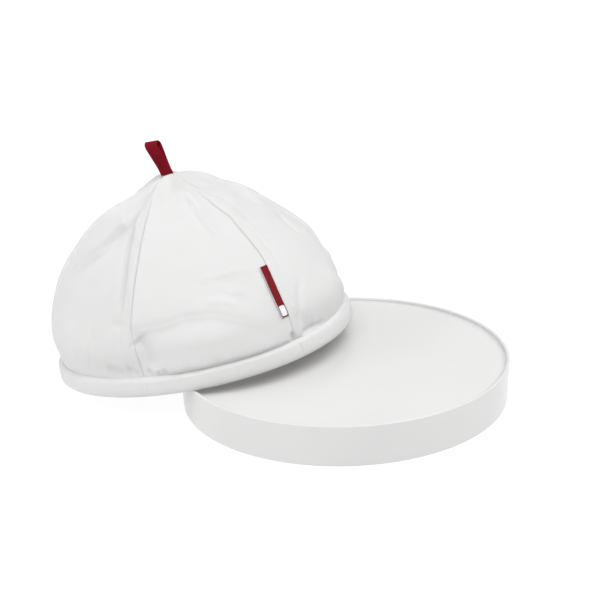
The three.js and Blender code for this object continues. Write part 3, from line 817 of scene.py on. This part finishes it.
def make_gore(gore):
    rows = Rows(np.linspace(0, outline_length, GORE_ROWS))
    share = column_shares(GORE_COLUMNS)
    degrees, width = gore_grid(gore, rows, share)
    channelled = gore % 2 == 0
    relief = edge_relief(rows, share, width, channelled) + cloth_relief(rows, degrees)
    grid = dome_points(rows, degrees, gore_swell(rows, share) + relief)
    tip, tip_rise = crown_tip(grid[-1], degrees[-1])
    grid = np.concatenate((grid, tip))
    rise = np.concatenate((rows.rise, tip_rise))
    across = share * width
    across = np.concatenate((across, np.repeat(across[-1:], CROWN_TIP_ROWS, axis=0)))
    uv = sheet_uv(across, rise)
    piece = make_grid(f"cloth_gore_{gore + 1}", place(grid), outer_cloth, uv)
    thicken(piece, CLOTH_THICKNESS)
    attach(piece, "cloche")
    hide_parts(f"gore_{gore + 1}")


# Lining
LINING_ROWS = 90
LINING_COLUMNS = 50
LINING_ROOM = 0.5


def make_lining(gore):
    rows = Rows(np.linspace(rise_at(HEM_HEIGHT + FIT_GAP), outline_length, LINING_ROWS))
    share = column_shares(LINING_COLUMNS)
    degrees, width = gore_grid(gore, rows, share)
    relief = np.minimum(cloth_relief(rows, degrees), 0)
    room = LINING_ROOM * rows.freedom * crown_freedom(rows)
    outward = gore_swell(rows, share) + relief - lining_inset - room
    uv = sheet_uv(share * width, rows.rise)
    grid = dome_points(rows, degrees, outward)
    piece = make_grid(f"cloth_lining_{gore + 1}", place(grid), lining_cloth, uv)
    thicken(piece, LINING_THICKNESS)
    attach(piece, "cloche")
    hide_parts(f"lining_{gore + 1}")


# Ribs in the channels
RIB_ROWS = 60
RIB_COLUMNS = 7
RIB_SEARCH_ROWS = 240
CHANNEL_SPARE = 1


def make_rib(seam):
    side = 1 if seam % 2 == 0 else -1
    all_rows = Rows(np.linspace(rise_at(HEM_HEIGHT + HEM_RELEASE), outline_length, RIB_SEARCH_ROWS))
    widest_channel = WIDEST_CHANNEL_SHARE * even_width(all_rows)
    wide_enough = all_rows.rise[widest_channel >= channel_width + CHANNEL_SPARE]
    rows = Rows(np.linspace(wide_enough[0], wide_enough[-1], RIB_ROWS))
    places = RIB_MARGIN + RIB_WIDTH * np.linspace(0, 1, RIB_COLUMNS)
    if side < 0:
        places = places[::-1]
    start = seam_degrees(seam, rows.height)
    degrees = start + side * np.degrees(places / rows.radius)
    share = places / even_width(rows)
    relief = np.minimum(cloth_relief(rows, degrees), 0)
    outward = gore_swell(rows, share) + relief + channel_lift(rows) - CLOTH_THICKNESS - FIT_GAP
    piece = make_grid(f"boning_{seam + 1}", place(dome_points(rows, degrees, outward)), rib_plastic)
    thicken(piece, RIB_THICKNESS)
    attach(piece, "cloche")
    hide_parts(f"seam_rib_{seam + 1}")


# Hem: a soft roll, widest at its belly, its top edge closing on the cloth
HEM_TURNS = 720
HEM_LIP_REST = 0.35
HEM_LIP_RISE = 1.8
# To the right the hem's top edge climbs and melts into the cloth
HEM_MELT_RISE = 7
HEM_MELT_ANGLE, HEM_MELT_SPREAD = 212, 24
HEM_PROFILE_STEPS = 40
# Relief on the hem's outside: it starts below the lip, and calms at the foot
HEM_LIP_START, HEM_LIP_END = 0.5, 4
HEM_FOOT_CALM = 3
HEM_GATHER_SHARE = 0.45
HEM_GATHER_FOOT = 5
HEM_SEAM_DEPTH = 0.7
HEM_SEAM_WIDTH = 0.9
HEM_RIPPLES = ((26, 0.3), (9, 0.12))
# Where the ends of the hem's own strip meet; the joint leans by degrees for each millimetre of height
HEM_JOINT_ANGLE = 134.2
HEM_JOINT_LEAN = 0.15
HEM_JOINT_STEP = 0.5
HEM_JOINT_WIDTH = 0.8
HEM_JOINT_REACH = 14
lip_radius = cloth_radius(cloth_bottom) + 2 * FIT_GAP + HEM_CLOTH
hem_lean = hem_radius - lip_radius


def hem_profile(lip_rise):
    """(distance out from the hem radius, height) from the outer lip, down and round to the inner lip.
    The small offsets of its corners are fitted to the photograph's hem."""
    lip = cloth_radius(HEM_HEIGHT + lip_rise) + HEM_LIP_REST - hem_radius
    corners = [(lip, HEM_HEIGHT + lip_rise), (0.82 * lip, HEM_HEIGHT + 0.6 * lip_rise),
               (0.48 * lip, HEM_HEIGHT + 0.1), (-1, HEM_HEIGHT - 1.7), (-0.3, HEM_BELLY + 4), (0, HEM_BELLY),
               (-0.35, HEM_BELLY - 3.4), (-1.4, 1.4), (-HEM_FOOT - 0.4, 0.1), (-hem_thickness + 1.6, 0.1),
               (-hem_thickness + 0.3, 1.2), (-hem_thickness - 0.2 * hem_lean, 4),
               (-hem_thickness - hem_lean, HEM_HEIGHT)]
    return smooth_line(np.array(corners), HEM_PROFILE_STEPS)


def hem_distance(degrees, angle):
    return np.radians(turn_from(degrees, angle)) * hem_radius


def hem_relief(degrees, height):
    relief = np.zeros(degrees.shape)
    gathered = HEM_GATHER_SHARE * smooth(height, HEM_GATHER_FOOT, HEM_HEIGHT)
    for angle, width, lift in zip(gather_angles, gather_widths, gather_lifts):
        relief += lift * bell(hem_distance(degrees, angle), width) * gathered
    for seam in range(GORE_COUNT):
        relief -= HEM_SEAM_DEPTH * bell(hem_distance(degrees, seam_degrees(seam, height)), HEM_SEAM_WIDTH)
    joint = HEM_JOINT_ANGLE + HEM_JOINT_LEAN * (height - HEM_HEIGHT / 2)
    distance = hem_distance(degrees, joint)
    fade = np.exp(-np.abs(distance) / HEM_JOINT_REACH)
    step = np.sign(distance) * (1 - bell(distance, HEM_JOINT_WIDTH)) * fade
    plain = ring_points(hem_radius, np.radians(degrees), height)
    return relief + HEM_JOINT_STEP * step + ripple(plain, HEM_RIPPLES)


def make_hem():
    profile = hem_profile(HEM_LIP_RISE)
    melted = hem_profile(HEM_MELT_RISE)
    degrees = np.linspace(0, 360, HEM_TURNS, endpoint=False)[None, :] + np.zeros((len(profile), 1))
    melt = bell(degrees - HEM_MELT_ANGLE, HEM_MELT_SPREAD)
    out, height = (profile[:, axis, None] * (1 - melt) + melted[:, axis, None] * melt for axis in (0, 1))
    profile_rise = path_lengths(profile)
    before_foot = np.arange(len(profile)) < np.argmin(profile[:, 1])
    outside = smooth(profile_rise, HEM_LIP_START, HEM_LIP_END) * before_foot
    relief = hem_relief(degrees, height) * outside[:, None] * smooth(height, 0, HEM_FOOT_CALM)
    angle = np.radians(degrees)
    grid = ring_points(hem_radius + out + relief, angle, height)
    uv = sheet_uv(angle * hem_radius, profile_rise[:, None])
    piece = make_grid("hem_band", place(grid), outer_cloth, uv, wrap_columns=True)
    thicken(piece, HEM_CLOTH, offset=1)
    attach(piece, "cloche")
    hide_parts("hem_casing")


# Hoop, a finer ring than the CAD one, in the widest part of the hem
HOOP_TURNS = 240
HOOP_SIDES = 16
inner_hollow = hem_radius - hem_thickness + HEM_CLOTH
hoop_radius = (inner_hollow - hem_lean * HEM_BELLY / HEM_HEIGHT + hem_radius - HEM_CLOTH) / 2


def make_hoop():
    wire = HOOP_WIRE / 2
    angle = full_turn(HOOP_TURNS)[:, None]
    side = full_turn(HOOP_SIDES)
    radius = hoop_radius + wire * np.cos(side)
    height = HEM_BELLY + wire * np.sin(side)
    grid = ring_points(radius, angle, height)
    piece = make_grid("wire_hoop", place(grid), hoop_steel, wrap_columns=True, wrap_rows=True)
    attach(piece, "cloche")
    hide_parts("hem_hoop")


# Crown patch, under the lining
PATCH_TURNS = 72
# Rings of the patch's level middle and of its sloping rest: (nearest, furthest, count)
PATCH_MIDDLE_RINGS = (0.5, 6, 5)
PATCH_OUTER_RINGS = (7.5, PATCH_RADIUS, 8)
# The lop and the sink begin and are full at these distances from the middle
PATCH_LEVEL, PATCH_LOPPED = 4, 10
patch_inset = lining_inset + LINING_THICKNESS + PATCH_CLEARANCE


def patch_top(distance, facing=0):
    """Height of the patch's upper side at a distance from the crown's middle; it lops with the lining."""
    rows = Rows(rise_at((crown_height, height_at_radius(PATCH_RADIUS + 2 * patch_inset))))
    outward = gore_swell(rows, 0.5) - patch_inset
    middle_x, middle_y = dome_middle(rows.height)
    aside = np.hypot(middle_x - crown_middle[0], middle_y - crown_middle[1])
    radii = (rows.radius + outward * rows.out_radial - aside)[:, 0]
    heights = (rows.height + outward * rows.out_height)[:, 0]
    lop = np.interp(distance, radii, rows.lop[:, 0]) * facing ** 2
    sink = CROWN_SINK * (1 - smooth(distance, crown_hole_radius, SINK_REACH))
    return np.interp(distance, radii, heights) - (lop + sink) * smooth(distance, PATCH_LEVEL, PATCH_LOPPED)


def make_patch():
    distances = np.concatenate((np.linspace(*PATCH_MIDDLE_RINGS), np.linspace(*PATCH_OUTER_RINGS)))
    angle = full_turn(PATCH_TURNS)
    radius = distances[::-1][:, None]
    grid = ring_points(radius, angle, patch_top(radius, lop_facing(angle)), crown_middle)
    uv = grid[..., :2] * MM
    rows, columns = grid.shape[:2]
    faces = grid_faces(rows, columns, wrap_columns=True)
    faces.append(tuple((rows - 1) * columns + step for step in range(columns)))
    piece = make_object("anchor_patch", place(grid.reshape(-1, 3)), faces, outer_cloth, uv.reshape(-1, 2))
    thicken(piece, PATCH_THICKNESS)
    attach(piece, "cloche")
    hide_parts("crown_patch")
    slant = distances[0] + np.sum(np.hypot(np.diff(distances), np.diff(patch_top(distances))))


# Lifting loop: one ribbon folded flat at the top, its lower fold resting on the patch
LOOP_STEPS = 24
LOOP_TOP_ROUND = 4.5
LOOP_NECK_STEPS = 6
LOOP_FOOT_STEPS = 8
# Pulls of the side's curve, as shares of its spread and climb: from the neck, and back from the top
LOOP_NECK_PULL = (0.15, 0.3)
LOOP_TOP_PULL = (0.12, 0.25)
RIBBON_PLAY = 0.15
RIBBON_CORNER = 0.5
RIBBON_CORNER_STEPS = 3
RIBBON_FACE_STEPS = 6


def bezier(points, steps):
    start, first, second, end = (np.array(point, float) for point in points)
    share = np.linspace(0, 1, steps + 1)[:, None]
    rest = 1 - share
    pulls = 3 * rest ** 2 * share * first + 3 * rest * share ** 2 * second
    return rest ** 3 * start + pulls + share ** 3 * end


def loop_path(sunk):
    """Middle line of the ribbon, (through, up), closed, from the foot up the one side and down the other."""
    half = RIBBON_THICKNESS / 2
    top_radius = LOOP_GAP / 2 + half
    neck = sunk + LOOP_NECK
    bend = sunk + LOOP_HEIGHT - half - LOOP_TOP_ROUND
    spread, climb = top_radius - half, bend - neck
    first = (half + LOOP_NECK_PULL[0] * spread, neck + LOOP_NECK_PULL[1] * climb)
    second = (top_radius - LOOP_TOP_PULL[0] * spread, bend - LOOP_TOP_PULL[1] * climb)
    rising = [(half, height) for height in np.linspace(0, neck, LOOP_NECK_STEPS)[:-1]]
    side = bezier(((half, neck), first, second, (top_radius, bend)), LOOP_STEPS)
    rising += [tuple(point) for point in side]
    top = oval_arc(0, bend, top_radius, LOOP_TOP_ROUND, 0, 180, LOOP_STEPS)[1:-1]
    falling = [(-across, height) for across, height in rising[::-1]]
    foot = arc(0, 0, half, 180, 360, LOOP_FOOT_STEPS)[1:-1]
    return np.array(rising + top + falling + foot)


def ribbon_section():
    """(thickness, width) round a ribbon with softly rounded edges."""
    half = (RIBBON_THICKNESS - RIBBON_PLAY) / 2
    side = LOOP_WIDTH / 2
    through, across = half - RIBBON_CORNER, side - RIBBON_CORNER
    corners = ((through, across), (-through, across), (-through, -across), (through, -across))
    points = []
    for quarter, (x, y) in enumerate(corners):
        points += arc(x, y, RIBBON_CORNER, 90 * quarter, 90 * quarter + 90, RIBBON_CORNER_STEPS)
        if quarter % 2 == 1:
            face = math.copysign(half, x)
            points += line((face, y), (face, -y), RIBBON_FACE_STEPS)
    return np.array(points)


def make_loop():
    pivot = patch_top(0) + FIT_GAP + RIBBON_THICKNESS
    path = loop_path(crown_height - pivot)
    ahead = np.roll(path, -1, axis=0) - np.roll(path, 1, axis=0)
    ahead /= np.linalg.norm(ahead, axis=1)[:, None]
    aside = np.stack((ahead[:, 1], -ahead[:, 0]), axis=-1)
    section = ribbon_section()
    through, up = (path[:, axis, None] + aside[:, axis, None] * section[:, 0] for axis in (0, 1))
    across = section[:, 1] + LOOP_TOP_SHIFT / LOOP_HEIGHT * up
    turn = math.radians(LOOP_TURN)
    x = crown_middle[0] + across * math.cos(turn) - through * math.sin(turn)
    y = crown_middle[1] + across * math.sin(turn) + through * math.cos(turn)
    grid = np.stack((x, y, pivot + up), axis=-1)
    length = path_lengths(np.concatenate((path, path[:1])))
    uv = sheet_uv(section[None, :, 1], length[:-1, None])
    piece = make_grid("webbing_loop", place(grid), webbing, uv, wrap_columns=True, wrap_rows=True)
    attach(piece, "loop")
    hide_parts("handle_loop")


# Label, sewn into its seam by one long edge; its other edge stands off the cloth
LABEL_SEAM = 2
LABEL_ROWS = 131
LABEL_COLUMNS = 21
LABEL_STAND_OFF = 0.4
LABEL_FREE_LIFT = 0.7
LABEL_MARGIN = 0.4
LABEL_LIFT_POWER = 1.5
LABEL_SMOOTHING = 15
BLOCK_FROM_END = 1.2
BLOCK_LENGTH = 10
BLOCK_FROM_SIDE = 0.9
BLOCK_CORNER = 1.2


def in_block(from_end, from_side):
    """Whether a place on the label is in its white block, whose corners are rounded."""
    out_along = abs(from_end - BLOCK_FROM_END - BLOCK_LENGTH / 2) - BLOCK_LENGTH / 2 + BLOCK_CORNER
    out_across = abs(from_side - LABEL_WIDTH / 2) - LABEL_WIDTH / 2 + BLOCK_FROM_SIDE + BLOCK_CORNER
    return math.hypot(max(out_along, 0), max(out_across, 0)) < BLOCK_CORNER


def make_label():
    along = np.linspace(0, LABEL_LENGTH, LABEL_ROWS)
    across = np.linspace(LABEL_WIDTH, 0, LABEL_COLUMNS)
    rows = Rows(rise_at(LABEL_RISE) + along)
    seam = seam_degrees(LABEL_SEAM, rows.height)
    degrees = seam - np.degrees((LABEL_MARGIN + across) / rows.radius)
    width = gore_grid(LABEL_SEAM - 1, rows, 0)[1]
    share = 1 - (LABEL_MARGIN + across) / width
    base = cloth_relief(rows, degrees).max(axis=1)
    window = np.hanning(LABEL_SMOOTHING)
    padded = np.pad(base, LABEL_SMOOTHING // 2, mode="edge")
    base = np.convolve(padded, window / window.sum(), mode="valid")
    lift = LABEL_STAND_OFF + LABEL_FREE_LIFT * (across / LABEL_WIDTH) ** LABEL_LIFT_POWER
    outward = gore_swell(rows, share) + base[:, None] + lift
    grid = dome_points(rows, degrees, outward)
    uv = sheet_uv(across, along[:, None])
    piece = make_grid("woven_label", place(grid), label_cloth, uv)
    piece.data.materials.append(label_print_and_edge_highlight)
    for polygon in piece.data.polygons:
        row, column = divmod(polygon.vertices[0], LABEL_COLUMNS)
        from_end = (along[row] + along[row + 1]) / 2
        from_side = (across[column] + across[column + 1]) / 2
        if in_block(from_end, from_side):
            polygon.material_index = 1
    # The label's sides take the white cloth too: a painted highlight, a pale line along its edges
    thicken(piece, LABEL_THICKNESS, offset=1).modifiers["thickness"].material_offset_rim = 1
    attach(piece, "label")
    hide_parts("side_label")


make_tray()
for index in range(GORE_COUNT):
    make_gore(index)
    make_lining(index)
    make_rib(index)
make_hem()
make_hoop()
make_patch()
make_loop()
make_label()


# Stage: floor, light and camera
# The floor is a light table, as under the photograph's white ground.
FLOOR_PAINT = 0.1
FLOOR_GLOW = 0.93
FLOOR_REACH = 40
WORLD_LIGHT = 0.15

# Wide soft lights: (name, compass angle from the camera's side, height angle, power)
SOFT_LIGHTS = (
    ("left_back_low", -115, 12, 0.7),
    ("left_low", -75, 12, 0.72),
    ("left_high", -75, 45, 0.41),
    ("front_high", 0, 57, 1.56),
    ("right_high", 72, 57, 1.3),
    ("right_back_high", 115, 50, 0.6),
    ("back_low", 180, 12, 0.3),
)
SOFT_SPREAD = 50
LAMP_DISTANCE = 3


def make_floor():
    look = Look("floor")
    look.set({"Base Color": (FLOOR_PAINT, FLOOR_PAINT, FLOOR_PAINT, 1), "Roughness": 0.9,
              "Emission Color": (1, 1, 1, 1), "Emission Strength": FLOOR_GLOW})
    half = FLOOR_REACH
    corners = [(-half, -half, 0), (half, -half, 0), (half, half, 0), (-half, half, 0)]
    floor = make_object("floor", corners, [(0, 1, 2, 3)], look.material)


def make_soft_light(name, compass, height, power):
    light = bpy.data.lights.new(name, "SUN")
    light.angle = math.radians(SOFT_SPREAD)
    light.energy = power
    lamp = bpy.data.objects.new(name, light)
    bpy.context.scene.collection.objects.link(lamp)
    side, rise = math.radians(compass), math.radians(height)
    towards = Vector((math.sin(side) * math.cos(rise), -math.cos(side) * math.cos(rise), math.sin(rise)))
    lamp.location = LAMP_DISTANCE * towards
    lamp.rotation_euler = (-towards).to_track_quat("-Z", "Y").to_euler()


def make_world():
    world = bpy.data.worlds.new("studio")
    world.use_nodes = True
    background = world.node_tree.nodes["Background"]
    background.inputs["Color"].default_value = (WORLD_LIGHT, WORLD_LIGHT, WORLD_LIGHT, 1)
    bpy.context.scene.world = world


CAMERA_PLACE = (0.0256, -1.3082, 0.5789)
CAMERA_PITCH = 0.3603
CAMERA_ROLL = -0.0380
CAMERA_LENS = 85
CAMERA_SENSOR = 36


def make_camera():
    data = bpy.data.cameras.new("camera")
    data.lens = CAMERA_LENS
    data.sensor_width = CAMERA_SENSOR
    camera = bpy.data.objects.new("camera", data)
    bpy.context.scene.collection.objects.link(camera)
    forward = Vector((0, math.cos(CAMERA_PITCH), -math.sin(CAMERA_PITCH)))
    level = Vector((1, 0, 0))
    upright = level.cross(forward)
    right = level * math.cos(CAMERA_ROLL) + upright * math.sin(CAMERA_ROLL)
    up = right.cross(forward)
    turn = Matrix((right, up, -forward)).transposed()
    camera.matrix_world = Matrix.Translation(CAMERA_PLACE) @ turn.to_4x4()
    bpy.context.scene.camera = camera


make_floor()
make_world()
for soft_light in SOFT_LIGHTS:
    make_soft_light(*soft_light)
make_camera()
bpy.context.scene.view_settings.view_transform = "Standard"
